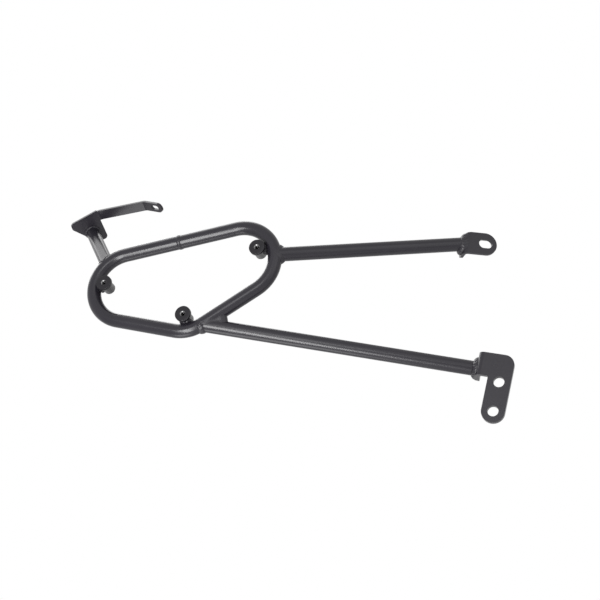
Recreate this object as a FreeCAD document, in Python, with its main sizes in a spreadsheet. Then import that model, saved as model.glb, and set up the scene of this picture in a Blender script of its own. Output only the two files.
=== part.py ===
"""Side case rack for a motorcycle, right-hand side: a bent tube loop that carries the case,
two struts to the footrest and the frame, and an arm to the tail, all welded together.

Millimetres and degrees, mounted as on the motorcycle: +X forward, +Z up, +Y inward to the machine.
The origin is the upper bolt hole of the lower bracket, on the face that sits on the motorcycle.
"""
import FreeCAD, Part
import math
import os
import re
import Sketcher

Vector = FreeCAD.Vector
Rotation = FreeCAD.Rotation
Placement = FreeCAD.Placement

SIZES = {
    # tube stock, shared by the loop, the struts and the arm
    "tube_od": 16.0,
    "tube_wall": 2.0,
    # loop: a belt round three equal bends, and where its rear bend is centred
    "bend_radius": 41.6,
    "bend_spacing": 134.0,
    "bend_drop": 28.0,
    "loop_behind": 388.9,
    "loop_outward": 35.0,
    "loop_above": 190.4,
    # butt weld that closes the loop, on its top run
    "seam_along": 65.6,
    "root_gap": 1.5,
    "seam_width": 7.0,
    "seam_crown": 0.7,
    # struts and arm: where they leave the loop and where they end
    "upper_strut_angle": -2.4,
    "upper_seat_behind": 11.6,
    "upper_seat_inward": 53.9,
    "upper_seat_above": 194.4,
    "arm_angle": 124.0,
    "arm_tip_behind": 444.7,
    "arm_tip_inward": 5.0,
    "arm_tip_above": 295.4,
    "cope_start": 2.0,
    # weld beads
    "crotch_leg": 3.6,
    "upper_joint_leg": 2.7,
    "arm_joint_leg": 1.8,
    "joint_crown": 1.8,
    "crotch_lift": 2.3,
    "crotch_reach": 30.4,
    "crotch_width": 10.0,
    "flange_leg": 4.6,
    "boss_leg": 3.0,
    # bushes that the case's fittings screw into
    "boss_collar_od": 18.3,
    "boss_collar_length": 4.0,
    "boss_spigot_od": 13.5,
    "boss_length": 19.0,
    "boss_bore": 5.0,
    "boss_chamfer": 0.8,
    "boss_proud": 12.0,
    "boss_gap": 1.2,
    "boss_angle": 15.5,
    "lower_boss_angle": -91.8,
    # lower bracket: a leg with two bolt holes, and a flange for the strut
    "lower_pitch": 21.7,
    "lower_thickness": 5.0,
    "lower_leg_width": 24.8,
    "lower_top": 30.4,
    "lower_hole": 11.5,
    "lower_hole_spacing": 32.0,
    "lower_flange_back": 26.2,
    "lower_flange_lean": 8.0,
    "lower_flange_depth": 28.0,
    "lower_flange_foot": 4.8,
    "lower_corner": 11.0,
    "lower_seat_depth": 15.0,
    "lower_seat_height": 15.2,
    # upper bracket: an ear with a slot, and a flange for the strut
    "upper_pitch": 7.0,
    "upper_yaw": 27.0,
    "upper_thickness": 4.0,
    "upper_height": 27.2,
    "upper_drop": 1.5,
    "upper_reach": 37.8,
    "upper_fold_slope": 0.2,
    "upper_flange_depth": 19.5,
    "upper_seat_depth": 10.0,
    "upper_slot_width": 11.0,
    "upper_slot_length": 15.5,
    # rear bracket: a three-cornered flange on the arm, and a strip with a slotted tab
    "rear_thickness": 3.0,
    "rear_front": 15.0,
    "rear_outer": 25.5,
    "rear_back": 20.5,
    "rear_inset": 3.5,
    "rear_lobe": 7.4,
    "rear_foot": 13.8,
    "rear_foot_width": 13.8,
    "rear_corner": 4.5,
    "strip_inset": 1.2,
    "strip_width": 12.2,
    "strip_length": 58.8,
    "strip_droop": 4.3,
    "strip_bend": 8.0,
    "tab_angle": 30.5,
    "tab_length": 28.0,
    "tab_slot_width": 6.0,
    "tab_slot_length": 12.0,
    "tab_slot_edge": 11.2,
    # sheet folds and free corners of the two thick brackets
    "fold_inside": 2.0,
    "flange_corner": 6.0,
}

doc = FreeCAD.newDocument("SideCaseRack")
sheet = doc.addObject("Spreadsheet::Sheet", "Sizes")
for row, (name, number) in enumerate(SIZES.items(), start=1):
    sheet.set("A%d" % row, name)
    sheet.set("B%d" % row, str(number))
    sheet.setAlias("B%d" % row, name)
doc.recompute()

pieces = []


def size(expression):
    """The value of an expression in the sheet's names."""
    return float(sheet.evalExpression(expression))


def bind(thing, prop, expression):
    """Tie a property to an expression in the sheet's names."""
    thing.setExpression(prop, re.sub(r"[a-z]\w+", lambda name: "Sizes." + name.group(), expression))


def keep(thing, label):
    """Mark an object as a piece of the rack, written under its label."""
    thing.Label = label
    pieces.append(thing)
    return thing


def new_sketch(body, name, role, offset=Placement()):
    sketch = body.newObject("Sketcher::SketchObject", name)
    support = next(item for item in body.Origin.OriginFeatures if item.Role == role)
    sketch.AttachmentSupport = (support, [""])
    sketch.MapMode = "FlatFace"
    sketch.AttachmentOffset = offset
    return sketch


def limit(sketch, expression, kind, *where):
    """Add a dimension to a sketch and tie it to an expression."""
    index = sketch.addConstraint(Sketcher.Constraint(kind, *where, size(expression)))
    bind(sketch, "Constraints[%d]" % index, expression)


def pin(sketch, geometry, position, x, y):
    """Hold a sketch point at two expressions."""
    limit(sketch, x, "DistanceX", -1, 1, geometry, position)
    limit(sketch, y, "DistanceY", -1, 1, geometry, position)


def outline(sketch, corners):
    """A closed outline of straight edges through corners given as expressions."""
    points = [Vector(size(x), size(y), 0) for x, y in corners]
    first = sketch.GeometryCount
    for index, point in enumerate(points):
        sketch.addGeometry(Part.LineSegment(point, points[(index + 1) % len(points)]))
    for index, corner in enumerate(corners):
        following = first + (index + 1) % len(points)
        sketch.addConstraint(Sketcher.Constraint("Coincident", first + index, 2, following, 1))
        pin(sketch, first + index, 1, *corner)


def circle(sketch, x, y, diameter):
    place = Vector(size(x), size(y), 0)
    index = sketch.addGeometry(Part.Circle(place, Vector(0, 0, 1), size(diameter) / 2))
    pin(sketch, index, 3, x, y)
    limit(sketch, diameter, "Diameter", index)


def slot(sketch, x, y, length, width):
    """A slot along the sketch's x, with round ends."""
    radius = size(width) / 2
    reach = Vector((size(length) - size(width)) / 2, 0, 0)
    middle = Vector(size(x), size(y), 0)
    rise = Vector(0, radius, 0)
    turn = math.pi / 2
    front_round = Part.Circle(middle + reach, Vector(0, 0, 1), radius)
    back_round = Part.Circle(middle - reach, Vector(0, 0, 1), radius)
    front = sketch.addGeometry(Part.ArcOfCircle(front_round, -turn, turn))
    back = sketch.addGeometry(Part.ArcOfCircle(back_round, turn, 3 * turn))
    top = sketch.addGeometry(Part.LineSegment(middle + reach + rise, middle - reach + rise))
    low = sketch.addGeometry(Part.LineSegment(middle - reach - rise, middle + reach - rise))
    for one, two in ((front, top), (top, back), (back, low), (low, front)):
        sketch.addConstraint(Sketcher.Constraint("Tangent", one, 2, two, 1))
    pin(sketch, front, 3, "%s + (%s - %s) / 2" % (x, length, width), y)
    limit(sketch, "%s / 2" % width, "Radius", front)
    limit(sketch, "%s - %s" % (length, width), "DistanceX", back, 3, front, 3)
    sketch.addConstraint(Sketcher.Constraint("Horizontal", top))


def pad(body, sketch, length):
    feature = body.newObject("PartDesign::Pad", sketch.Name + "Pad")
    feature.Profile = sketch
    bind(feature, "Length", length)
    doc.recompute()


def pocket(body, sketch):
    """Cut a sketch right through the body, both ways."""
    before = body.Shape.Volume
    feature = body.newObject("PartDesign::Pocket", sketch.Name + "Pocket")
    feature.Profile = sketch
    feature.Type = "ThroughAll"
    feature.Midplane = True
    doc.recompute()
    if body.Shape.Volume >= before:
        raise RuntimeError(feature.Name + " cut nothing")


def fillet(body, name, points, radius):
    """Round the edges of the body that pass these points."""
    base = body.Tip
    edges = []
    for point in points:
        gaps = [edge.distToShape(Part.Vertex(point))[0] for edge in base.Shape.Edges]
        edges.append("Edge%d" % (gaps.index(min(gaps)) + 1))
    feature = body.newObject("PartDesign::Fillet", name)
    feature.Base = (base, edges)
    bind(feature, "Radius", radius)
    doc.recompute()


# Radius of a full round end on a given width, with a sliver of flat left for the fillet
FULL_ROUND = "%s * 0.499"


def moved(point, forward, up):
    """A point moved forward and up, in a plane along the motorcycle."""
    return point + Vector(forward, 0, up)


# Places that the pieces share
rear_bend = Vector(-size("loop_behind"), -size("loop_outward"), size("loop_above"))
front_bend = moved(rear_bend, size("bend_spacing"), 0)
lower_bend = moved(rear_bend, size("bend_spacing / 2"), -size("bend_drop"))
run_slope = math.atan2(size("bend_drop"), size("bend_spacing / 2"))


def on_bend(centre, angle, radius):
    """A point at a radius from the centre of a bend, at an angle above forward."""
    return moved(centre, radius * math.cos(angle), radius * math.sin(angle))


# Loop: one tube bent round three equal bends, its ends meeting on the top run
def loop_tube():
    body = doc.addObject("PartDesign::Body", "LoopTube")
    spine = new_sketch(body, "LoopSpine", "XZ_Plane")
    radius = size("bend_radius")
    top = math.pi / 2
    low_front = run_slope - top
    low_rear = -run_slope - top
    centres = {
        "front": Vector(size("bend_spacing"), 0, 0),
        "lower": Vector(size("bend_spacing / 2"), -size("bend_drop"), 0),
        "rear": Vector(0, 0, 0),
    }

    def rim(bend, angle):
        return centres[bend] + Vector(math.cos(angle), math.sin(angle), 0) * radius

    def arc(bend, start, end):
        ring = Part.Circle(centres[bend], Vector(0, 0, 1), radius)
        return spine.addGeometry(Part.ArcOfCircle(ring, start, end))

    def run(start, end):
        return spine.addGeometry(Part.LineSegment(start, end))

    first_end = Vector(size("seam_along + root_gap / 2"), radius, 0)
    last_end = Vector(size("seam_along - root_gap / 2"), radius, 0)
    top_front = run(first_end, rim("front", top))
    front = arc("front", low_front, top)
    front_run = run(rim("front", low_front), rim("lower", low_front))
    lower = arc("lower", low_rear, low_front)
    rear_run = run(rim("lower", low_rear), rim("rear", low_rear))
    rear = arc("rear", top, low_rear + 2 * math.pi)
    top_rear = run(rim("rear", top), last_end)
    joins = (
        (top_front, 2, front, 2), (front, 1, front_run, 1), (front_run, 2, lower, 2),
        (lower, 1, rear_run, 1), (rear_run, 2, rear, 2), (rear, 1, top_rear, 1),
    )
    for join in joins:
        spine.addConstraint(Sketcher.Constraint("Tangent", *join))
    spine.addConstraint(Sketcher.Constraint("Coincident", rear, 3, -1, 1))
    spine.addConstraint(Sketcher.Constraint("PointOnObject", front, 3, -1))
    limit(spine, "bend_spacing", "DistanceX", -1, 1, front, 3)
    pin(spine, lower, 3, "bend_spacing / 2", "-bend_drop")
    limit(spine, "bend_radius", "Radius", rear)
    spine.addConstraint(Sketcher.Constraint("Equal", rear, front))
    spine.addConstraint(Sketcher.Constraint("Equal", rear, lower))
    for line in (top_front, top_rear):
        spine.addConstraint(Sketcher.Constraint("Horizontal", line))
    limit(spine, "seam_along + root_gap / 2", "DistanceX", -1, 1, top_front, 1)
    limit(spine, "seam_along - root_gap / 2", "DistanceX", -1, 1, top_rear, 2)

    section = new_sketch(body, "LoopSection", "YZ_Plane")
    bind(section, "AttachmentOffset.Base.z", "seam_along + root_gap / 2")
    circle(section, "0", "bend_radius", "tube_od")
    circle(section, "0", "bend_radius", "tube_od - 2 * tube_wall")
    pipe = body.newObject("PartDesign::AdditivePipe", "LoopPipe")
    pipe.Profile = section
    pipe.Spine = spine
    doc.recompute()
    body.Placement = Placement(rear_bend, Rotation())
    return keep(body, "loop_tube")


# Bushes: turned, with a front collar, welded inside each bend for the case's fittings
def boss(label, centre):
    body = doc.addObject("PartDesign::Body", label)
    section = new_sketch(body, label + "_section", "XY_Plane")
    back = "boss_collar_length - boss_proud"
    end = "boss_length - boss_proud"
    outline(section, [
        ("boss_bore / 2 + boss_chamfer", "-boss_proud"),
        ("boss_collar_od / 2", "-boss_proud"),
        ("boss_collar_od / 2", back),
        ("boss_spigot_od / 2", back),
        ("boss_spigot_od / 2", end),
        ("boss_bore / 2", end),
        ("boss_bore / 2", "boss_chamfer - boss_proud"),
    ])
    turning = body.newObject("PartDesign::Revolution", label + "_turning")
    turning.Profile = section
    turning.ReferenceAxis = (section, ["V_Axis"])
    turning.Angle = 360
    doc.recompute()
    body.Placement = Placement(centre, Rotation())
    return keep(body, label)


# Lower bracket: folded plate, a leg with two bolt holes and a flange across the strut's end
def lower_bracket():
    body = doc.addObject("PartDesign::Body", "LowerBracket")
    plate = new_sketch(body, "LowerPlate", "XZ_Plane")
    half = "lower_leg_width / 2"
    low = "-lower_hole_spacing - lower_leg_width / 2"
    outline(plate, [
        (half, low),
        (half, "lower_top"),
        ("-lower_flange_back", "lower_top"),
        ("-lower_flange_back", "lower_flange_foot"),
        ("-lower_leg_width / 2", "lower_flange_foot"),
        ("-lower_leg_width / 2", low),
    ])
    pad(body, plate, "lower_thickness")
    flange = new_sketch(body, "LowerFlange", "YZ_Plane")
    bind(flange, "AttachmentOffset.Base.x", "-lower_thickness")
    bind(flange, "AttachmentOffset.Base.z", "-lower_flange_back")
    flange.AttachmentOffset = Placement(Vector(), Rotation(Vector(0, 1, 0), size("lower_flange_lean")))
    outline(flange, [
        ("0", "lower_flange_foot"),
        ("lower_flange_depth", "lower_flange_foot"),
        ("lower_flange_depth", "lower_top"),
        ("0", "lower_top"),
    ])
    pad(body, flange, "lower_thickness")
    side = size(half)
    back = -size("lower_flange_back")
    thick = size("lower_thickness")
    middle = (size("lower_top") + size("lower_flange_foot")) / 2
    foot = size("lower_flange_foot")
    lean = math.radians(size("lower_flange_lean"))
    crease = back + thick * (1 - math.sin(lean)) / math.cos(lean)
    fillet(body, "LowerFoldInside", [Vector(crease, 0, middle)], "fold_inside")
    fillet(body, "LowerFoldOutside", [Vector(back, -thick, middle)], "fold_inside + lower_thickness")
    fillet(body, "LowerRelief", [Vector(-side, -thick / 2, foot)], "fold_inside")
    top = size("lower_top")
    corners = [lower_fold.multVec(Vector(thick / 2, size("lower_flange_depth"), z)) for z in (foot, top)]
    fillet(body, "LowerFlangeCorners", corners, "flange_corner")
    fillet(body, "LowerTopCorner", [Vector(side, -thick / 2, top)], "lower_corner")
    fillet(body, "LowerLegEnd", [Vector(x, -thick / 2, size(low)) for x in (-side, side)],
           FULL_ROUND % "lower_leg_width")
    holes = new_sketch(body, "LowerHoles", "XZ_Plane")
    circle(holes, "0", "0", "lower_hole")
    circle(holes, "0", "-lower_hole_spacing", "lower_hole")
    pocket(body, holes)
    body.Placement = lower_place
    return keep(body, "lower_bracket")


# Upper bracket: folded plate, a slotted ear and a flange across the strut's end
def upper_bracket():
    body = doc.addObject("PartDesign::Body", "UpperBracket")
    low = "-upper_drop - upper_height / 2"
    high = "upper_height / 2 - upper_drop"
    low_fold = "upper_fold_slope * (%s)" % low
    high_fold = "upper_fold_slope * (%s)" % high
    ear = new_sketch(body, "UpperEar", "XZ_Plane")
    bind(ear, "AttachmentOffset.Base.z", "upper_seat_depth - upper_thickness")
    outline(ear, [(low_fold, low), ("upper_reach", low), ("upper_reach", high), (high_fold, high)])
    pad(body, ear, "upper_thickness")
    flange = new_sketch(body, "UpperFlange", "XZ_Plane")
    bind(flange, "AttachmentOffset.Base.z", "upper_seat_depth - upper_flange_depth")
    outline(flange, [
        (low_fold, low),
        (low_fold + " + upper_thickness", low),
        (high_fold + " + upper_thickness", high),
        (high_fold, high),
    ])
    pad(body, flange, "upper_flange_depth")
    thick = size("upper_thickness")
    front = -size("upper_seat_depth")
    depth = size("upper_flange_depth - upper_seat_depth")
    ends = (size(low), size(high))
    fillet(body, "UpperFoldInside", [Vector(thick, front + thick, 0)], "fold_inside")
    fillet(body, "UpperFoldOutside", [Vector(0, front, 0)], "fold_inside + upper_thickness")
    corners = [Vector(size("upper_fold_slope") * z + thick / 2, depth, z) for z in ends]
    fillet(body, "UpperFlangeCorners", corners, "flange_corner")
    fillet(body, "UpperEarEnd", [Vector(size("upper_reach"), front + thick / 2, z) for z in ends],
           FULL_ROUND % "upper_height")
    opening = new_sketch(body, "UpperSlot", "XZ_Plane")
    slot(opening, "upper_reach - upper_height / 2", "-upper_drop", "upper_slot_length", "upper_slot_width")
    pocket(body, opening)
    body.Placement = upper_place
    return keep(body, "upper_bracket")


# Corners of the rear flange, from its front outer corner round the back to its foot
REAR_FLANGE = [
    ("rear_front", "-rear_outer"),
    ("-rear_back", "rear_inset - rear_outer"),
    ("-rear_back", "rear_inset + rear_lobe - rear_outer"),
    ("rear_front - rear_foot_width", "rear_foot"),
    ("rear_front", "rear_foot"),
]


# Rear bracket: one bent strip, a three-cornered flange on the arm, a long strip and a slotted tab
def rear_bracket():
    body = doc.addObject("PartDesign::Body", "RearBracket")
    thick = size("rear_thickness")
    level = math.acos(rear_place.Rotation.multVec(Vector(1, 0, 0)).x)
    strip_turn = level + math.radians(size("strip_droop"))
    tab_turn = strip_turn + math.radians(size("tab_angle"))
    headings = [Vector(math.cos(turn), -math.sin(turn), 0) for turn in (0, strip_turn, tab_turn)]
    normals = [Vector(-heading.y, heading.x, 0) for heading in headings]
    lead = size("rear_front + strip_bend / 4")
    under = [Vector(-size("rear_back"), 0, 0), Vector(lead, 0, 0)]
    under.append(under[1] + headings[1] * size("strip_length"))
    under.append(under[2] + headings[2] * size("tab_length"))

    def mitre(index):
        one, two = normals[index - 1], normals[index]
        return under[index] + (one + two) * (thick / (1 + one.dot(two)))

    over = [under[0] + normals[0] * thick, mitre(1), mitre(2), under[3] + normals[2] * thick]
    side = new_sketch(body, "RearSide", "XZ_Plane")
    bind(side, "AttachmentOffset.Base.z", "-rear_foot")
    loop = under + over[::-1]
    for index, point in enumerate(loop):
        side.addGeometry(Part.LineSegment(point, loop[(index + 1) % len(loop)]))
    for index, point in enumerate(loop):
        side.addConstraint(Sketcher.Constraint("Coincident", index, 2, (index + 1) % len(loop), 1))
        side.addConstraint(Sketcher.Constraint("DistanceX", -1, 1, index, 1, point.x))
        side.addConstraint(Sketcher.Constraint("DistanceY", -1, 1, index, 1, point.y))
    pad(body, side, "rear_outer + rear_foot")
    fillet(body, "RearBendsInside", [Vector(p.x, 0, p.y) for p in under[1:3]], "strip_bend")
    fillet(body, "RearBendsOutside", [Vector(p.x, 0, p.y) for p in over[1:3]],
           "strip_bend + rear_thickness")

    blank = new_sketch(body, "RearBlank", "XY_Plane")
    outer = "strip_inset - rear_outer"
    inner = "strip_inset + strip_width - rear_outer"
    outline(blank, REAR_FLANGE + [
        ("rear_front", inner),
        ("rear_front + strip_length + tab_length", inner),
        ("rear_front + strip_length + tab_length", outer),
        ("rear_front", outer),
    ])
    outline(blank, [
        ("-2 * rear_back", "-2 * rear_outer"),
        ("-2 * rear_back", "2 * rear_foot"),
        ("rear_front + strip_length + tab_length + rear_back", "2 * rear_foot"),
        ("rear_front + strip_length + tab_length + rear_back", "-2 * rear_outer"),
    ])
    pocket(body, blank)
    corners = [Vector(size(x), size(y), thick / 2) for x, y in REAR_FLANGE[1:]]
    fillet(body, "RearCorners", corners, "rear_corner")
    tab = Placement(Vector(under[2].x, 0, under[2].y), Rotation(Vector(0, 1, 0), math.degrees(tab_turn)))
    end = [Vector(size("tab_length"), size(y), thick / 2) for y in (outer, inner)]
    fillet(body, "TabEnd", [tab.multVec(point) for point in end], FULL_ROUND % "strip_width")
    opening = new_sketch(body, "TabSlot", "XY_Plane", tab)
    middle = "strip_inset + strip_width / 2 - rear_outer"
    slot(opening, "tab_length - tab_slot_edge", middle, "tab_slot_length", "tab_slot_width")
    pocket(body, opening)
    body.Placement = rear_place
    return keep(body, "rear_bracket")


# Longer than any tube is wide, for a tool that cuts right through one
CLEAR = "4 * tube_od"


# Struts and arm: straight tubes, coped to sit on the loop and cut off where their flange lies
def rod(name, start, end, diameter):
    stock = doc.addObject("Part::Cylinder", name)
    bind(stock, "Radius", "(%s) / 2" % diameter)
    stock.Height = start.distanceToPoint(end)
    stock.Placement = Placement(start, Rotation(Vector(0, 0, 1), end - start))
    return stock


def bend_ring(name, centre):
    stock = doc.addObject("Part::Torus", name)
    bind(stock, "Radius1", "bend_radius")
    bind(stock, "Radius2", "tube_od / 2")
    stock.Placement = Placement(centre, Rotation(Vector(0, 0, 1), Vector(0, 1, 0)))
    return stock


def beyond(name, seat):
    """A block past the seat, on the flange's side of it."""
    block = doc.addObject("Part::Box", name)
    for side in ("Length", "Width", "Height"):
        bind(block, side, CLEAR)
    middle = Vector(-size(CLEAR) / 2, -size(CLEAR) / 2, 0)
    block.Placement = seat.multiply(Placement(middle, Rotation()))
    return block


def strut(label, start, seat, loop_stock):
    axis = (seat.Base - start).normalize()
    far = seat.Base + axis * size(CLEAR) / 2
    outside = rod(label + "_outside", start + axis * size("cope_start"), far, "tube_od")
    inside = rod(label + "_inside", start, far, "tube_od - 2 * tube_wall")
    stock = doc.addObject("Part::Cut", label + "_stock")
    stock.Base = outside
    stock.Tool = inside
    for step, tool in (("coped", loop_stock), ("trimmed", beyond(label + "_beyond", seat))):
        cut = doc.addObject("Part::Cut", "%s_%s" % (label, step))
        cut.Base = stock
        cut.Tool = tool
        stock = cut
    doc.recompute()
    return keep(stock, label)


# Welds: each fills the corner between the two pieces that it joins
def bead(label, shape):
    weld = doc.addObject("Part::Feature", label)
    weld.Shape = shape
    return keep(weld, label)


def bar(start, end, radius):
    return Part.makeCylinder(radius, start.distanceToPoint(end), start, end - start)


def bend_solid(centre, radius):
    return Part.makeTorus(size("bend_radius"), radius, centre, Vector(0, 1, 0))


def lower_stretch(radius):
    """The loop from its lowest point up the front run, at a radius about its centreline."""
    low = on_bend(lower_bend, -math.pi / 2 - run_slope, size("bend_radius"))
    bottom = on_bend(lower_bend, -math.pi / 2, size("bend_radius"))
    bend = Part.Arc(low, bottom, lower_start).toShape()
    run = Part.LineSegment(lower_start, lower_run_end).toShape()
    section = Part.Wire(Part.makeCircle(radius, low, Vector(math.cos(run_slope), 0, -math.sin(run_slope))))
    return Part.Wire([bend, run]).makePipeShell([section], True, False)


def front_stretch(radius):
    return bend_solid(front_bend, radius)


def rear_stretch(radius):
    return bend_solid(rear_bend, radius)


def joint_bead(label, leg_name, start, seat, along, loop_solid, sharp=False):
    """Saddle bead where a strut meets the loop. Where they meet at a sharp angle it fills the crotch too."""
    axis = (seat.Base - start).normalize()
    across = axis.cross(along).normalize()
    radius = size("tube_od / 2")
    leg = size(leg_name)
    crown = size("joint_crown")
    reach = size(CLEAR)
    first = start + axis * size("cope_start")
    width = 2 * (radius + crown)
    slab = Part.makeBox(2 * reach, 2 * reach, width, Vector(-reach, -reach, -width / 2))
    slab.Placement = Placement(start, Rotation(axis, Vector(), across, "ZXY")).multiply(slab.Placement)
    if sharp:
        lift = size("crotch_lift")
        above = across.cross(axis) * lift
        grown = bar(first + above, first + above + axis * reach, radius + leg - lift)
        filler = grown.common(loop_solid(radius + leg)).common(slab)
        deep = size("crotch_reach") / math.cos(axis.getAngle(along) / 2)
        side = across * size("crotch_width / 2")
        corners = [start - side, start - side + axis * deep, start - side + along * deep, start - side]
        filler = filler.fuse(Part.Face(Part.makePolygon(corners)).extrude(2 * side))
    else:
        grown = bar(first, start + axis * radius, radius + crown)
        cone = Part.makeCone(radius + 2 * leg, radius, 2 * leg, start + axis * (radius - leg), axis)
        filler = grown.fuse(cone).common(loop_solid(radius + leg)).common(slab)
    filler = filler.cut(bar(first, start + axis * 2 * reach, radius)).cut(loop_solid(radius))
    return bead(label, filler)


def face_block(place, near, far, low, high):
    """A block that covers a bracket's flange, from its near side to its far one and from low to high."""
    reach = size(CLEAR)
    block = Part.makeBox(2 * reach, size(far) - size(near), size(high) - size(low))
    block.Placement = place.multiply(Placement(Vector(-reach, size(near), size(low)), Rotation()))
    return block


def flange_bead(label, leg_name, start, seat, within):
    """Ring of weld round a tube's end on its flange."""
    axis = (seat.Base - start).normalize()
    radius = size("tube_od / 2")
    leg = size(leg_name)
    ring = Part.makeCone(radius + 2 * leg, radius, 2 * leg, seat.Base + axis * leg, -axis)
    ring = ring.cut(bar(start, seat.Base + axis * 2 * leg, radius))
    reach = size(CLEAR)
    block = Part.makeBox(reach, reach, reach, Vector(-reach / 2, -reach / 2, 0))
    block.Placement = seat.multiply(block.Placement)
    return bead(label, ring.cut(block).common(within))


def boss_bead(label, place, bend):
    spigot = size("boss_spigot_od / 2")
    tube = size("tube_od / 2")
    leg = size("boss_leg")
    front = place + Vector(0, size("boss_collar_length - boss_proud"), 0)
    back = place + Vector(0, size("boss_length - boss_proud") - leg / 2, 0)
    filler = bar(front, back, spigot + leg).common(bend_solid(bend, tube + leg))
    return bead(label, filler.cut(bar(front, back, spigot)).cut(bend_solid(bend, tube)))


def seam_bead(label):
    """Crowned ring that fills the root gap between the loop's two ends."""
    outer = size("tube_od / 2")
    bore = outer - size("tube_wall")
    gap = size("root_gap / 2")
    half = size("seam_width / 2")
    crown = Vector(0, 0, outer + size("seam_crown"))
    left, right = Vector(-half, 0, outer), Vector(half, 0, outer)
    root = [Vector(gap, 0, outer), Vector(gap, 0, bore), Vector(-gap, 0, bore), Vector(-gap, 0, outer)]
    path = [right] + root + [left]
    edges = [Part.Arc(left, crown, right).toShape()]
    edges += [Part.LineSegment(one, two).toShape() for one, two in zip(path, path[1:])]
    ring = Part.Face(Part.Wire(edges)).revolve(Vector(), Vector(1, 0, 0), 360)
    ring.translate(moved(rear_bend, size("seam_along"), size("bend_radius")))
    return bead(label, ring)


def seat_at(point, normal):
    return Placement(point, Rotation(Vector(0, 0, 1), normal))


# Seats of the three brackets, and where the struts and the arm leave the loop
lower_place = Placement(Vector(), Rotation(Vector(0, 1, 0), size("lower_pitch")))
lower_crease = Vector(-size("lower_flange_back"), -size("lower_thickness"), 0)
lower_fold = Placement(lower_crease, Rotation(Vector(0, 0, 1), size("lower_flange_lean")))
lower_face = lower_place.multiply(lower_fold)
lower_foot = lower_face.multVec(Vector(0, size("lower_seat_depth"), size("lower_seat_height")))
lower_seat = seat_at(lower_foot, lower_face.Rotation.multVec(Vector(1, 0, 0)))
upper_base = Vector(-size("upper_seat_behind"), size("upper_seat_inward"), size("upper_seat_above"))
upper_pitch = Rotation(Vector(0, 1, 0), size("upper_pitch"))
upper_turn = upper_pitch.multiply(Rotation(Vector(0, 0, 1), size("upper_yaw")))
upper_place = Placement(upper_base, upper_turn)
upper_seat = seat_at(upper_base, upper_turn.multVec(Vector(1, 0, -size("upper_fold_slope"))))
upper_start = on_bend(front_bend, math.radians(size("upper_strut_angle")), size("bend_radius"))
upper_along = moved(Vector(), -(upper_start - front_bend).z, (upper_start - front_bend).x)
lower_start = on_bend(lower_bend, run_slope - math.pi / 2, size("bend_radius"))
lower_along = moved(Vector(), math.cos(run_slope), math.sin(run_slope))
lower_run_end = on_bend(front_bend, run_slope - math.pi / 2, size("bend_radius"))
arm_start = on_bend(rear_bend, math.radians(size("arm_angle")), size("bend_radius"))
arm_along = moved(Vector(), -(arm_start - rear_bend).z, (arm_start - rear_bend).x)
arm_tip = Vector(-size("arm_tip_behind"), size("arm_tip_inward"), size("arm_tip_above"))
arm_axis = (arm_tip - arm_start).normalize()
rear_place = Placement(arm_tip, Rotation(Vector(), arm_axis.cross(Vector(1, 0, 0)), arm_axis, "ZYX"))
rear_seat = seat_at(arm_tip, arm_axis)

loop_tube()
seam_bead("loop_seam_weld")

boss_reach = size("bend_radius - tube_od / 2 - boss_gap - boss_spigot_od / 2")
boss_lift = math.radians(size("boss_angle"))
bosses = (
    ("rear_boss", rear_bend, math.pi - boss_lift),
    ("lower_boss", lower_bend, math.radians(size("lower_boss_angle"))),
    ("front_boss", front_bend, boss_lift),
)
for label, bend, angle in bosses:
    place = on_bend(bend, angle, boss_reach)
    boss(label, place)
    boss_bead(label + "_weld", place, bend)

front_ring = bend_ring("FrontBendStock", front_bend)
rear_ring = bend_ring("RearBendStock", rear_bend)
lower_stock = doc.addObject("Part::Feature", "LowerLoopStock")
lower_stock.Shape = lower_stretch(size("tube_od / 2"))

upper_bracket()
strut("upper_strut_tube", upper_start, upper_seat, front_ring)
joint_bead("upper_strut_weld", "upper_joint_leg", upper_start, upper_seat, upper_along, front_stretch)
upper_reach = face_block(upper_place, "-upper_seat_depth", "upper_flange_depth - upper_seat_depth",
                         "-upper_drop - upper_height / 2", "upper_height / 2 - upper_drop")
flange_bead("upper_bracket_weld", "flange_leg", upper_start, upper_seat, upper_reach)

lower_bracket()
strut("lower_strut_tube", lower_start, lower_seat, lower_stock)
joint_bead("lower_strut_weld", "crotch_leg", lower_start, lower_seat, lower_along, lower_stretch, True)
lower_reach = face_block(lower_face, "0", "lower_flange_depth", "lower_flange_foot", "lower_top")
flange_bead("lower_bracket_weld", "flange_leg", lower_start, lower_seat, lower_reach)

rear_bracket()
strut("rear_arm_tube", arm_start, rear_seat, rear_ring)
joint_bead("rear_arm_weld", "arm_joint_leg", arm_start, rear_seat, arm_along, rear_stretch)
flange_corners = [Vector(size(x), size(y), -size("tube_od")) for x, y in REAR_FLANGE]
flange_face = Part.Face(Part.makePolygon(flange_corners + flange_corners[:1]))
rear_reach = flange_face.extrude(Vector(0, 0, 2 * size("tube_od")))
rear_reach.Placement = rear_place
flange_bead("rear_bracket_weld", "arm_joint_leg", arm_start, rear_seat, rear_reach)

doc.recompute()
for thing in doc.Objects:
    if "Invalid" in thing.State or "Error" in thing.State:
        raise RuntimeError("%s failed: %s" % (thing.Name, thing.State))
for piece in pieces:
    shape = piece.Shape
    if shape.isNull() or not shape.isValid() or len(shape.Solids) != 1:
        raise RuntimeError("%s is not one sound solid: %d" % (piece.Label, len(shape.Solids)))
os.makedirs("parts", exist_ok=True)
for piece in pieces:
    piece.Shape.exportStep("parts/%s.step" % piece.Label)
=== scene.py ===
"""Looks of a side case rack for a motorcycle: welded steel tube and folded plate in satin black powder coat.

Metres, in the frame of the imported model: +X forward, +Z up, +Y inward to the motorcycle.
"""
import bmesh
import bpy
import math
from mathutils import Matrix, Vector, noise


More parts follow.
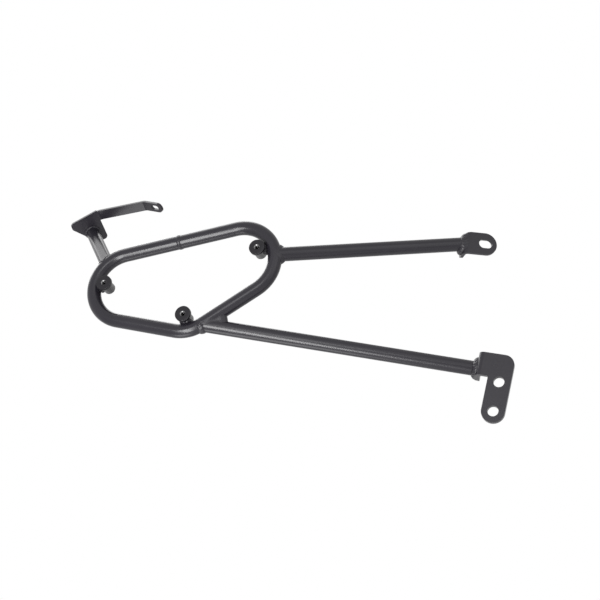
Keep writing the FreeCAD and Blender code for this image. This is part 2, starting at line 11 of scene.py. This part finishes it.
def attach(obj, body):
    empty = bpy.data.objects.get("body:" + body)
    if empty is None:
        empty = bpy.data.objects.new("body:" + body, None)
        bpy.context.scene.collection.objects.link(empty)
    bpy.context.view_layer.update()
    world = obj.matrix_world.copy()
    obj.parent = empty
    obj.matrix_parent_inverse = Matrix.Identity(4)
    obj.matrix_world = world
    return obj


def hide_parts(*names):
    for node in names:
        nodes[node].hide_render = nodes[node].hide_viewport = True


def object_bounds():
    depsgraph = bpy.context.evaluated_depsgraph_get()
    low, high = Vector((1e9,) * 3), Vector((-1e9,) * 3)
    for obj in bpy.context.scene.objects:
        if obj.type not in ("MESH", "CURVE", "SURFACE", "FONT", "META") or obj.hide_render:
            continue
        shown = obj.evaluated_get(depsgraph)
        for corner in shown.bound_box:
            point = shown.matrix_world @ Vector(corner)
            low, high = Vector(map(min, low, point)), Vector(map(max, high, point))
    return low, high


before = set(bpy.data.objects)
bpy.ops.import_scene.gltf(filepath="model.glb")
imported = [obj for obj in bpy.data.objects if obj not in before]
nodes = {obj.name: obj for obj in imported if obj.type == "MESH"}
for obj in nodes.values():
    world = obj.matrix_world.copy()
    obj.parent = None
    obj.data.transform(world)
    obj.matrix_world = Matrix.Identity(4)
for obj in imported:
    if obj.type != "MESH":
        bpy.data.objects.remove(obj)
cad_low, cad_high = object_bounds()

# Loop: one 16 mm steel tube bent cold round three equal bends, its ends butted on the top run.
# Like the rest of the rack it is blasted after welding, coated in satin black powder and cured.
tube_radius = 0.008
bend_radius = 0.0416
half_span = 0.067
lower_drop = 0.028
rear_bend = Vector((-0.3889, -0.035, 0.1904))
front_bend = rear_bend + Vector((2 * half_span, 0, 0))
lower_bend = rear_bend + Vector((half_span, 0, -lower_drop))


def new_group(name, inputs, outputs):
    """A shader node group with its sockets, and its two end nodes."""
    group = bpy.data.node_groups.new(name, "ShaderNodeTree")
    for label, kind, value in inputs:
        socket = group.interface.new_socket(name=label, in_out="INPUT", socket_type=kind)
        socket.default_value = value
    for label, kind in outputs:
        group.interface.new_socket(name=label, in_out="OUTPUT", socket_type=kind)
    return group, group.nodes.new("NodeGroupInput"), group.nodes.new("NodeGroupOutput")


def clouds(tree, place, scale, detail):
    """Noise at a scale per metre, which may be a number or a socket."""
    node = tree.nodes.new("ShaderNodeTexNoise")
    node.inputs["Detail"].default_value = detail
    tree.links.new(place, node.inputs["Vector"])
    if isinstance(scale, float):
        node.inputs["Scale"].default_value = scale
    else:
        tree.links.new(scale, node.inputs["Scale"])
    return node.outputs["Fac"]


def maths(tree, operation, one, two):
    """One step of arithmetic on two terms, each a number or a socket."""
    node = tree.nodes.new("ShaderNodeMath")
    node.operation = operation
    for socket, value in zip(node.inputs, (one, two)):
        if isinstance(value, (int, float)):
            socket.default_value = value
        else:
            tree.links.new(value, socket)
    return node.outputs["Value"]


def powder_coat_group():
    """Cured powder: the orange peel it flowed out to, a fine grain, and faint clouds of tone and gloss."""
    clouds_per_metre = 38.0
    gloss_swing = 0.07
    grain_share = 0.15
    group, given, result = new_group(
        "powder_coat",
        [
            ("Tone", "NodeSocketColor", (0.02, 0.02, 0.02, 1)),
            ("Thin Tone", "NodeSocketColor", (0.04, 0.04, 0.04, 1)),
            ("Roughness", "NodeSocketFloat", 0.4),
            ("Peel", "NodeSocketFloat", 420.0),
            ("Grain", "NodeSocketFloat", 2600.0),
        ],
        [("Colour", "NodeSocketColor"), ("Roughness", "NodeSocketFloat"), ("Height", "NodeSocketFloat")],
    )
    place = group.nodes.new("ShaderNodeTexCoord").outputs["Object"]
    peel = clouds(group, place, given.outputs["Peel"], 1.5)
    grain = clouds(group, place, given.outputs["Grain"], 1.0)
    cloud = clouds(group, place, clouds_per_metre, 3.0)
    thin = maths(group, "MULTIPLY", maths(group, "POWER", cloud, 2.0), grain)
    mix = group.nodes.new("ShaderNodeMix")
    mix.data_type = "RGBA"
    group.links.new(thin, mix.inputs["Factor"])
    group.links.new(given.outputs["Tone"], mix.inputs["A"])
    group.links.new(given.outputs["Thin Tone"], mix.inputs["B"])
    gloss = maths(group, "MULTIPLY", maths(group, "SUBTRACT", cloud, 0.5), gloss_swing)
    height = maths(group, "ADD", peel, maths(group, "MULTIPLY", grain, grain_share))
    group.links.new(mix.outputs["Result"], result.inputs["Colour"])
    group.links.new(maths(group, "ADD", given.outputs["Roughness"], gloss), result.inputs["Roughness"])
    group.links.new(height, result.inputs["Height"])
    return group


powder_coat = powder_coat_group()


def coat(name, tone, thin_tone, roughness, peel, depth, specular):
    """Powder coat with its own tone and gloss, and its own size and depth of peel."""
    material = bpy.data.materials.new(name)
    material.use_nodes = True
    tree = material.node_tree
    shader = tree.nodes["Principled BSDF"]
    shader.inputs["Specular IOR Level"].default_value = specular
    layer = tree.nodes.new("ShaderNodeGroup")
    layer.node_tree = powder_coat
    layer.inputs["Tone"].default_value = (*tone, 1)
    layer.inputs["Thin Tone"].default_value = (*thin_tone, 1)
    layer.inputs["Roughness"].default_value = roughness
    layer.inputs["Peel"].default_value = peel
    bump = tree.nodes.new("ShaderNodeBump")
    bump.inputs["Distance"].default_value = depth
    tree.links.new(layer.outputs["Colour"], shader.inputs["Base Color"])
    tree.links.new(layer.outputs["Roughness"], shader.inputs["Roughness"])
    tree.links.new(layer.outputs["Height"], bump.inputs["Height"])
    tree.links.new(bump.outputs["Normal"], shader.inputs["Normal"])
    return material


def dress(node, material):
    """Give a solid that stays in view its finish."""
    nodes[node].data.materials.clear()
    nodes[node].data.materials.append(material)


tube_coat = coat(
    "tube_coat", tone=(0.0114, 0.0104, 0.0141), thin_tone=(0.0194, 0.0176, 0.0229),
    roughness=0.25, peel=420.0, depth=0.00002, specular=0.34)
dress("loop_tube", tube_coat)

# Butt weld that closes the loop: a low crowned bead run right round the tube on its top run.
# Filler wire, left with the ripples of the torch and coated with the rest.
weld_coat = coat(
    "weld_coat", tone=(0.0123, 0.0113, 0.0148), thin_tone=(0.0220, 0.0202, 0.0255),
    roughness=0.30, peel=900.0, depth=0.00003, specular=0.34)
seam_middle = rear_bend + Vector((0.0667, 0, bend_radius))
seam_half_width = 0.0024
seam_wander = 0.0003
seam_crown = 0.0004
seam_root = 0.0018


def fit(name, points, faces, material, node):
    """A new piece from points and faces, with its finish and the node that it stands for."""
    sharp_angle = math.radians(40)
    mesh = bpy.data.meshes.new(name)
    mesh.from_pydata(points, [], faces)
    shape = bmesh.new()
    shape.from_mesh(mesh)
    bmesh.ops.recalc_face_normals(shape, faces=shape.faces)
    shape.to_mesh(mesh)
    shape.free()
    mesh.polygons.foreach_set("use_smooth", [True] * len(mesh.polygons))
    mesh.set_sharp_from_angle(angle=sharp_angle)
    mesh.materials.append(material)
    piece = bpy.data.objects.new(name, mesh)
    bpy.context.scene.collection.objects.link(piece)
    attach(piece, "root")
    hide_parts(node)
    return piece


def closed_grid(rows, columns):
    """Four-sided faces over rows of points, where the last row and the last column meet the first."""
    faces = []
    for row in range(rows):
        here = row * columns
        there = (row + 1) % rows * columns
        for place in range(columns):
            onward = (place + 1) % columns
            faces.append((here + place, there + place, there + onward, here + onward))
    return faces


def weld_bead(name, stations, pitch, ripple, node):
    """A closed run of weld. A station has two toes, a root, the way out and the height of the crown,
    which carries the crescent ripples that the pool left as it froze."""
    across = 12
    drift_share = 0.3
    drifts_per_metre = 300
    crescent_lag = 0.7
    ridge_power = 0.8
    middles = [(one + two) / 2 for one, two, root, out, crown in stations]
    steps = [(middle - middles[index - 1]).length for index, middle in enumerate(middles)]
    ripples = round(sum(steps) / pitch)
    highest = max(crown for one, two, root, out, crown in stations)
    points = []
    run = 0.0
    for (one, two, root, out, crown), middle, step in zip(stations, middles, steps):
        run += step
        drift = drift_share * noise.noise(middle * drifts_per_metre)
        for place in range(across + 1):
            share = place / across
            arch = 4 * share * (1 - share)
            turn = ripples * run / sum(steps) + drift + crescent_lag * (1 - arch)
            ridge = abs(math.sin(math.pi * turn)) ** ridge_power
            scallop = ripple * ridge * max(0.0, crown) / highest
            points.append(one.lerp(two, share) + out * (crown * arch + scallop * math.sqrt(arch)))
        points.append(root)
    faces = closed_grid(len(stations), across + 2)
    return fit(name, points, faces, weld_coat, node)


def seam_stations():
    """Stations round the tube, over the butt of its two ends."""
    count = 220
    wander_scale = 3
    stations = []
    for index in range(count):
        angle = 2 * math.pi * index / count
        out = Vector((0, math.cos(angle), math.sin(angle)))
        wander = seam_wander * noise.noise(out * wander_scale)
        side = Vector((seam_half_width + wander, 0, 0))
        rim = seam_middle + out * tube_radius
        root = seam_middle + out * (tube_radius - seam_root)
        stations.append((rim - side, rim + side, root, out, seam_crown))
    return stations


weld_bead("seam_bead", seam_stations(), pitch=0.0042, ripple=0.00025, node="loop_seam_weld")

# Bushes: turned steel with a front collar and an M6 thread cut right through, one inside each bend.
# The first turns, chased after coating, show bare steel at the mouth; deeper, the coat is left as painted
# shade.
bush_front = -0.047
bush_length = 0.019
collar_radius = 0.00915
spigot_radius = 0.00675
bush_gap = 0.0012
bush_inset = bend_radius - tube_radius - bush_gap - spigot_radius
bush_lean = math.radians(15.5)
lower_bush_lean = math.radians(-91.8)
thread_core = 0.0025
thread_depth = 0.0005
thread_pitch = 0.001
mouth_radius = 0.0033
coated_depth = 0.0002
# Bare steel ends at this depth; beyond it the dark coat is painted shade deep in the hole.
bare_to_painted_shade_depth = 0.002
bush_profile = [
    (mouth_radius, 0), (0.0052, 0), (0.0087, 0),
    (0.00900, 0.00012), (collar_radius, 0.00045), (collar_radius, 0.0036),
    (0.00904, 0.0039), (0.0088, 0.0040), (0.0071, 0.0040),
    (0.00685, 0.0041), (spigot_radius, 0.0044), (spigot_radius, 0.0184),
    (0.0066, 0.0188), (0.0063, bush_length), (0.0034, bush_length),
]
bush_coat = coat(
    "bush_coat", tone=(0.0084, 0.0077, 0.0097), thin_tone=(0.0150, 0.0141, 0.0167),
    roughness=0.25, peel=700.0, depth=0.000015, specular=0.27)


def chased_steel():
    """Bare steel of a cut thread: lighter and darker patches, and a gloss broken by fine tool marks."""
    dark_patch = (0.14, 0.14, 0.14, 1)
    light_patch = (0.34, 0.34, 0.34, 1)
    patches_per_metre = 500.0
    marks_per_metre = 3000.0
    smoothest = 0.2
    roughness_swing = 0.3
    material = bpy.data.materials.new("chased_steel")
    material.use_nodes = True
    tree = material.node_tree
    shader = tree.nodes["Principled BSDF"]
    shader.inputs["Metallic"].default_value = 1.0
    place = tree.nodes.new("ShaderNodeTexCoord").outputs["Object"]
    ramp = tree.nodes.new("ShaderNodeValToRGB")
    ramp.color_ramp.elements[0].color = dark_patch
    ramp.color_ramp.elements[1].color = light_patch
    tree.links.new(clouds(tree, place, patches_per_metre, 3.0), ramp.inputs["Fac"])
    tree.links.new(ramp.outputs["Color"], shader.inputs["Base Color"])
    marks = maths(tree, "MULTIPLY", clouds(tree, place, marks_per_metre, 2.0), roughness_swing)
    tree.links.new(maths(tree, "ADD", marks, smoothest), shader.inputs["Roughness"])
    return material


thread_steel = chased_steel()


def within(value, low, high):
    """The value, kept between a low and a high limit."""
    return min(high, max(low, value))


def thread_radius(depth, angle):
    """Radius of the threaded hole at a depth from the front face, opened out at both mouths."""
    flank_slope = 1.5
    root_flat = 0.25
    phase = (depth / thread_pitch - angle / (2 * math.pi)) % 1.0
    flank = within(flank_slope * abs(2 * phase - 1) - root_flat, 0.0, 1.0)
    flare = max(mouth_radius - depth, mouth_radius - (bush_length - depth))
    return max(thread_core + thread_depth * flank, flare)


def bush(name, centre, node):
    """A bush turned to its profile, with the turns of the thread in its hole."""
    around = 48
    levels_per_pitch = 6
    turns = [2 * math.pi * index / around for index in range(around)]
    rows = [[(radius, depth)] * around for radius, depth in bush_profile]
    levels = round(bush_length / thread_pitch * levels_per_pitch)
    for level in range(levels, 0, -1):
        depth = bush_length * level / levels
        rows.append([(thread_radius(depth, turn), depth) for turn in turns])
    points = [
        centre + Vector((radius * math.cos(turn), bush_front + depth - centre.y, radius * math.sin(turn)))
        for row in rows for (radius, depth), turn in zip(row, turns)
    ]
    piece = fit(name, points, closed_grid(len(rows), around), bush_coat, node)
    piece.data.materials.append(thread_steel)
    # Bare steel only in a band at the mouth; past it the dark coat stays as painted shade deep in the hole.
    for face in piece.data.polygons:
        in_hole = (face.center - centre).xz.length < mouth_radius
        if in_hole and coated_depth < face.center.y - bush_front < bare_to_painted_shade_depth:
            face.material_index = 1
    return piece


def on_bend(centre, angle, radius):
    """A point at a radius from the centre of a bend, at an angle above forward."""
    return centre + Vector((math.cos(angle), 0, math.sin(angle))) * radius


bushes = (
    ("rear", rear_bend, math.pi - bush_lean),
    ("lower", lower_bend, lower_bush_lean),
    ("front", front_bend, bush_lean),
)
for place, centre, angle in bushes:
    bush(place + "_bush", on_bend(centre, angle, bush_inset), place + "_boss")

# Bush welds: a ring of filler in the narrow gap between each bush and the inside of its bend,
# run from both sides so that it stands out a little on the front and the back.
bush_weld_gap = 0.0040
bush_weld_reach = 0.009
bush_weld_crown = 0.0005


def loop_line(point):
    """Nearest point of the loop's centreline: a belt that runs a bend's radius outside the three centres."""
    flat = Vector((point.x, rear_bend.y, point.z))
    best = None
    for one, two in ((rear_bend, front_bend), (front_bend, lower_bend), (lower_bend, rear_bend)):
        span = two - one
        near = one + span * within((flat - one).dot(span) / span.length_squared, 0.0, 1.0)
        if best is None or (flat - near).length < (flat - best).length:
            best = near
    return best + (flat - best).normalized() * bend_radius


def off_loop(point):
    """How far a point stands off the loop's surface."""
    return (point - loop_line(point)).length - tube_radius


def onto_loop(point):
    """The point of the loop's surface that is nearest to a point."""
    line = loop_line(point)
    return line + (point - line).normalized() * tube_radius


def furthest(near, far, holds):
    """The furthest value between two at which a test still holds, found by halving."""
    halvings = 24
    for _ in range(halvings):
        value = (near + far) / 2
        if holds(value):
            near = value
        else:
            far = value
    return near


def bush_weld_stations(centre, angle):
    """Stations round the gap, where the bush's side and the loop stand a given width apart."""
    count = 150
    root_share = 0.5
    toe_share = 0.2
    middle = on_bend(centre, angle, bush_inset)
    stations = []
    for index in range(count):
        turn = 2 * math.pi * index / count

        def side(reach):
            lean = angle + reach * math.cos(turn) / spigot_radius
            return on_bend(middle, lean, spigot_radius) + Vector((0, reach * math.sin(turn), 0))

        reach = furthest(0.0, bush_weld_reach, lambda value: off_loop(side(value)) < bush_weld_gap)
        one = side(reach)
        two = onto_loop(one)
        root = (side(reach * root_share) + (one + two) * toe_share) / (1 + 2 * toe_share)
        out = ((one + two) / 2 - root).normalized()
        stations.append((one, two, root, out, bush_weld_crown))
    return stations


for place, centre, angle in bushes:
    weld_bead(place + "_bush_bead", bush_weld_stations(centre, angle),
              pitch=0.0038, ripple=0.0007, node=place + "_boss_weld")

# Upper strut: straight tube, coped to the front bend and welded all round, with a folded ear of 4 mm
# plate welded over its front end. The ear is laser cut, folded across a slant and slotted for an M10 bolt.
plate_coat = coat(
    "plate_coat", tone=(0.0119, 0.0107, 0.0143), thin_tone=(0.0202, 0.0185, 0.0238),
    roughness=0.28, peel=520.0, depth=0.00002, specular=0.34)
plate_ease = 0.0005
upper_start = on_bend(front_bend, math.radians(-2.4), bend_radius)
upper_seat = Vector((-0.0116, 0.0539, 0.1944))
upper_turn = Matrix.Rotation(math.radians(7), 3, "Y") @ Matrix.Rotation(math.radians(27), 3, "Z")
upper_slope = 0.2
upper_flange_y = (-0.0097, 0.0092)
upper_flange_z = (-0.0149, 0.0119)
upper_fold_start = -0.004
upper_fold_radius = 0.006
upper_leg_above = 0.00405
upper_leg_beside = 0.001755
upper_crown_above = 0.0002
upper_crown_beside = 0.00003
flange_leg = 0.0046
flange_crown = 0.0006
weld_root = 0.0005
leg_wanders_per_metre = 220


def eased_plate(name, node):
    """A plate with its cut edges eased, as blasting and powder leave them, on the form of its solid."""
    same_point = 1e-6
    flat_angle = math.radians(1)
    cut_angle = math.radians(40)
    solid = nodes[node]
    shape = bmesh.new()
    shape.from_mesh(solid.data)
    shape.transform(solid.matrix_world)
    bmesh.ops.remove_doubles(shape, verts=shape.verts, dist=same_point)
    bmesh.ops.dissolve_limit(shape, angle_limit=flat_angle, verts=shape.verts, edges=shape.edges)
    cut = [edge for edge in shape.edges if edge.is_manifold and edge.calc_face_angle() > cut_angle]
    bmesh.ops.bevel(shape, geom=cut, offset=plate_ease, offset_type="OFFSET", segments=2, profile=0.5,
                    affect="EDGES", clamp_overlap=True)
    shape.verts.index_update()
    points = [vert.co.copy() for vert in shape.verts]
    faces = [[vert.index for vert in face.verts] for face in shape.faces]
    shape.free()
    piece = fit(name, points, faces, plate_coat, node)
    piece.modifiers.new("flat_faces", "WEIGHTED_NORMAL").keep_sharp = True
    return piece


def frame_round(axis, towards):
    """Two directions square to an axis, the first as near as may be to a given one."""
    first = (towards - axis * towards.dot(axis)).normalized()
    return first, axis.cross(first)


def saddle_stations(start, axis, along, leg, crown):
    """Stations where a tube's side meets the loop. The leg and the crown follow the angle round the tube.
    Where the side only grazes the loop, the corner is the point where it comes nearest."""
    count = 240
    search_step = 0.0004
    reaches = [0.045 - search_step * step for step in range(132)]
    run_span = 4
    wander_share = 0.07
    first, second = frame_round(axis, along)
    turns = [2 * math.pi * index / count for index in range(count)]
    outs = [first * math.cos(turn) + second * math.sin(turn) for turn in turns]
    corners = []
    for out in outs:
        base = start + out * tube_radius

        def clear(reach):
            return off_loop(base + axis * reach)

        grazing = min(reaches, key=clear)
        met = next((reach for reach in reaches if clear(reach) <= 0), grazing)
        corners.append(base + axis * furthest(met, met + search_step, lambda reach: clear(reach) <= 0))
    stations = []
    for index, (corner, out, turn) in enumerate(zip(corners, outs, turns)):
        run = (corners[(index + run_span) % count] - corners[index - run_span]).normalized()
        loop_out = (corner - loop_line(corner)).normalized()
        reach = leg(turn) * (1 + wander_share * noise.noise(corner * leg_wanders_per_metre))
        up = out.cross(run).normalized()
        away = run.cross(loop_out).normalized()
        toe = corner + up * reach - start
        height = axis * toe.dot(axis)
        one = start + height + (toe - height).normalized() * tube_radius
        two = onto_loop(corner + away * reach)
        way = (out + loop_out).normalized()
        stations.append((one, two, corner - way * weld_root, way, crown(turn)))
    return stations


def ring_stations(start, seat, normal, leg, hold):
    """Stations round a tube's end on its flange. The hold keeps the outer toe on the flange."""
    count = 220
    wander_share = 0.08
    axis = (seat - start).normalized()
    first, second = frame_round(axis, Vector((0, 0, 1)))
    stations = []
    for index in range(count):
        turn = 2 * math.pi * index / count
        out = first * math.cos(turn) + second * math.sin(turn)
        base = start + out * tube_radius
        corner = base + axis * ((seat - base).dot(normal) / axis.dot(normal))
        reach = leg * (1 + wander_share * noise.noise(corner * leg_wanders_per_metre))
        spread = (out - normal * out.dot(normal)).normalized()
        two = hold(corner + spread * reach)
        way = (out - normal).normalized()
        stations.append((corner - axis * reach, two, corner - way * weld_root, way, flange_crown))
    return stations


def round_over(depth, radius):
    """How far a folded corner has drawn back at a depth inside its rounding."""
    inside = within(depth, 0.0, radius)
    return radius - math.sqrt(radius * radius - inside * inside)


def hold_upper(point):
    """Keep a point on the ear's flange, and on the round of its fold."""
    place = upper_turn.transposed() @ (point - upper_seat)
    place.y = within(place.y, *upper_flange_y)
    place.z = within(place.z, *upper_flange_z)
    place.x = upper_slope * place.z + round_over(upper_fold_start - place.y, upper_fold_radius)
    return upper_seat + upper_turn @ place


def upper_leg(turn):
    """Leg of the strut's weld: long above and below the strut, short in front and behind."""
    return upper_leg_above + (upper_leg_beside - upper_leg_above) * abs(math.sin(turn))


def upper_crown(turn):
    """Crown of the strut's weld, which is almost flat in front and behind."""
    return upper_crown_above + (upper_crown_beside - upper_crown_above) * abs(math.sin(turn))


upper_axis = (upper_seat - upper_start).normalized()
upper_along = (upper_start - front_bend).cross(Vector((0, 1, 0))).normalized()
upper_normal = (upper_turn @ Vector((1, 0, -upper_slope))).normalized()
dress("upper_strut_tube", tube_coat)
eased_plate("upper_ear", "upper_bracket")
weld_bead("upper_strut_bead", saddle_stations(upper_start, upper_axis, upper_along, upper_leg, upper_crown),
          pitch=0.0018, ripple=0.0004, node="upper_strut_weld")
weld_bead("upper_ear_bead", ring_stations(upper_start, upper_seat, upper_normal, flange_leg, hold_upper),
          pitch=0.0034, ripple=0.0005, node="upper_bracket_weld")

# Lower strut: straight tube, laid on the front run at a sharp angle, the crotch between them filled with
# weld. Its bracket is 5 mm plate, laser cut and folded, with two holes for M10 bolts to the hanger of the
# footrest, and is welded over the strut's front end.
run_slope = math.atan2(lower_drop, half_span)
lower_start = on_bend(lower_bend, run_slope - math.pi / 2, bend_radius)
lower_along = Vector((math.cos(run_slope), 0, math.sin(run_slope)))
lower_turn = Matrix.Rotation(math.radians(21.7), 3, "Y")
lower_crease = lower_turn @ Vector((-0.0262, -0.005, 0))
lower_flange = lower_turn @ Matrix.Rotation(math.radians(8), 3, "Z")
lower_seat = lower_crease + lower_flange @ Vector((0, 0.015, 0.0152))
lower_flange_y = (0.0005, 0.0277)
lower_flange_z = (0.0050, 0.0301)
lower_fold_start = 0.0061
lower_fold_radius = 0.007
heel_leg = 0.0036
heel_crown = 0.0005
valley_thinning = 0.7
valley_hollow = 0.0009
crotch_fill = 0.0054
crotch_sharpness = 6


def hold_lower(point):
    """Keep a point on the bracket's flange, and on the round of its fold."""
    place = lower_flange.transposed() @ (point - lower_crease)
    place.y = within(place.y, *lower_flange_y)
    place.z = within(place.z, *lower_flange_z)
    place.x = round_over(lower_fold_start - place.y, lower_fold_radius)
    return lower_crease + lower_flange @ place


def into_crotch(turn):
    """How far a station lies in the filled crotch, from none to one."""
    return max(0.0, math.cos(turn)) ** crotch_sharpness


def in_valley(turn):
    """How far a station lies in the hollow stretches between the filled crotch and the crowned heel."""
    return max(0.0, math.cos(turn)) - into_crotch(turn)


def lower_leg(turn):
    """Leg of the strut's weld, from the heel through the thin valley to the filled crotch."""
    return heel_leg * (1 - valley_thinning * in_valley(turn)) + crotch_fill * into_crotch(turn)


def lower_crown(turn):
    """Crown of the strut's weld: raised at the heel, hollow in the valley and flat in the crotch."""
    return heel_crown * (1 - math.sqrt(max(0.0, math.cos(turn)))) - valley_hollow * in_valley(turn)


lower_axis = (lower_seat - lower_start).normalized()
lower_normal = lower_flange @ Vector((1, 0, 0))
dress("lower_strut_tube", tube_coat)
eased_plate("lower_plate", "lower_bracket")
weld_bead("lower_strut_bead", saddle_stations(lower_start, lower_axis, lower_along, lower_leg, lower_crown),
          pitch=0.0036, ripple=0.0005, node="lower_strut_weld")
weld_bead("lower_bracket_bead", ring_stations(lower_start, lower_seat, lower_normal, flange_leg, hold_lower),
          pitch=0.0034, ripple=0.0005, node="lower_bracket_weld")

# Rear arm: straight tube from the rear bend up to the tail, under a flange of 3 mm strip.
# The strip is cut in one with the flange and bent twice, and its end tab is slotted for an M6 bolt.
arm_start = on_bend(rear_bend, math.radians(124), bend_radius)
arm_tip = Vector((-0.4447, 0.005, 0.2954))
arm_weld_leg = 0.0018
arm_weld_crown = 0.0004
arm_axis = (arm_tip - arm_start).normalized()
arm_along = (arm_start - rear_bend).cross(Vector((0, 1, 0))).normalized()
rear_side = arm_axis.cross(Vector((1, 0, 0))).normalized()
rear_turn = Matrix((rear_side.cross(arm_axis), rear_side, arm_axis)).transposed()
rear_edges = [(0.015, -0.0255), (-0.0205, -0.022), (-0.0205, -0.0146), (0.0012, 0.0138), (0.015, 0.0138)]
rear_margin = 0.0002


def hold_rear(point):
    """Keep a point inside the flange's edges."""
    place = (rear_turn.transposed() @ (point - arm_tip)).xy
    for index, corner in enumerate(rear_edges):
        one = Vector(rear_edges[index - 1])
        along = (Vector(corner) - one).normalized()
        inward = Vector((along.y, -along.x))
        over = (place - one).dot(inward)
        if over < rear_margin:
            place += inward * (rear_margin - over)
    return arm_tip + rear_turn @ Vector((place.x, place.y, 0))


def arm_leg(turn):
    """Leg of the arm's weld, the same all round."""
    return arm_weld_leg


def arm_crown(turn):
    """Crown of the arm's weld, the same all round."""
    return arm_weld_crown


dress("rear_arm_tube", tube_coat)
eased_plate("tail_strip", "rear_bracket")
weld_bead("rear_arm_bead", saddle_stations(arm_start, arm_axis, arm_along, arm_leg, arm_crown),
          pitch=0.0017, ripple=0.0003, node="rear_arm_weld")
weld_bead("rear_bracket_bead", ring_stations(arm_start, arm_tip, arm_axis, arm_weld_leg, hold_rear),
          pitch=0.0017, ripple=0.0003, node="rear_bracket_weld")

# Floor and studio: a plain pale floor well below the rack and a white surround. A narrow lamp low on the
# outer side draws the long highlights, a broad one overhead lights the top, and four weak ones lift the
# front, the struts' ends and the tail.
floor_level = -0.9
floor_reach = 6.0
floor_colour = (0.86, 0.86, 0.86, 1)
floor_roughness = 0.7
floor_mesh = bpy.data.meshes.new("floor")
floor_corners = [(-floor_reach, -floor_reach), (floor_reach, -floor_reach),
                 (floor_reach, floor_reach), (-floor_reach, floor_reach)]
floor_mesh.from_pydata([(x, y, floor_level) for x, y in floor_corners], [], [(0, 1, 2, 3)])
floor = bpy.data.objects.new("floor", floor_mesh)
bpy.context.scene.collection.objects.link(floor)
pale = bpy.data.materials.new("pale_floor")
pale.use_nodes = True
pale.node_tree.nodes["Principled BSDF"].inputs["Base Color"].default_value = floor_colour
pale.node_tree.nodes["Principled BSDF"].inputs["Roughness"].default_value = floor_roughness
floor_mesh.materials.append(pale)

seen_strength = 1.0
room_strength = 0.85
world = bpy.data.worlds.new("studio")
bpy.context.scene.world = world
world.use_nodes = True
tree = world.node_tree
tree.nodes.clear()
rays = tree.nodes.new("ShaderNodeLightPath")
seen = maths(tree, "MAXIMUM", rays.outputs["Is Camera Ray"], rays.outputs["Is Glossy Ray"])
seen = maths(tree, "MAXIMUM", seen, rays.outputs["Is Transmission Ray"])
surround = tree.nodes.new("ShaderNodeBackground")
surround.inputs["Color"].default_value = (1, 1, 1, 1)
level = maths(tree, "ADD", maths(tree, "MULTIPLY", seen, seen_strength - room_strength), room_strength)
tree.links.new(level, surround.inputs["Strength"])
output = tree.nodes.new("ShaderNodeOutputWorld")
tree.links.new(surround.outputs["Background"], output.inputs["Surface"])


def soft_light(name, place, aim, width, height, watts):
    """A rectangular lamp that the camera doesn't see, turned to what it lights."""
    data = bpy.data.lights.new(name, "AREA")
    data.shape = "RECTANGLE"
    data.size = width
    data.size_y = height
    data.energy = watts
    lamp = bpy.data.objects.new(name, data)
    lamp.location = place
    lamp.rotation_euler = (aim - place).to_track_quat("-Z", "Y").to_euler()
    lamp.visible_camera = False
    bpy.context.scene.collection.objects.link(lamp)


middle = (cad_low + cad_high) / 2
strut_ends = Vector((0.0, 0.03, 0.15))
tail = Vector((-0.39, 0.0, 0.305))
soft_light("low_outer_light", middle + Vector((-0.33, -0.81, -0.48)) * 1.2, middle,
           width=0.28, height=0.95, watts=15.5)
soft_light("front_light", middle + Vector((-0.03, -0.99, -0.06)) * 1.2, middle,
           width=0.35, height=0.4, watts=1.55)
soft_light("overhead_light", middle + Vector((-0.42, 0.25, 0.87)) * 1.3, middle,
           width=1.2, height=1.2, watts=10.5)
soft_light("front_fill", middle + Vector((0.30, -0.94, 0.15)) * 1.3, middle,
           width=1.2, height=1.0, watts=1.8)
soft_light("tail_light", Vector((-0.66, 0.09, -0.55)), tail, width=0.4, height=0.4, watts=1.8)
soft_light("side_fill", Vector((0.884, -0.828, 0.085)), strut_ends, width=0.6, height=1.2, watts=1.65)

# Camera: at the photograph's place, outside the rack and below it, looking up and inward.
# Its roll follows the photograph too, in which the loop's level top run climbs to the right.
eye = Vector((0.05035, -1.19447, -0.43003))
aim = Vector((-0.19929, 0.00198, 0.14504))
upward = Vector((0.213, -0.3864, 0.8974))
camera_data = bpy.data.cameras.new("camera")
camera_data.sensor_width = 36.0
camera_data.lens = 72.0
camera = bpy.data.objects.new("camera", camera_data)
back = (eye - aim).normalized()
right = upward.cross(back).normalized()
camera.matrix_world = Matrix.Translation(eye) @ Matrix((right, back.cross(right), back)).transposed().to_4x4()
bpy.context.scene.collection.objects.link(camera)
bpy.context.scene.camera = camera
bpy.context.scene.view_settings.view_transform = "Standard"
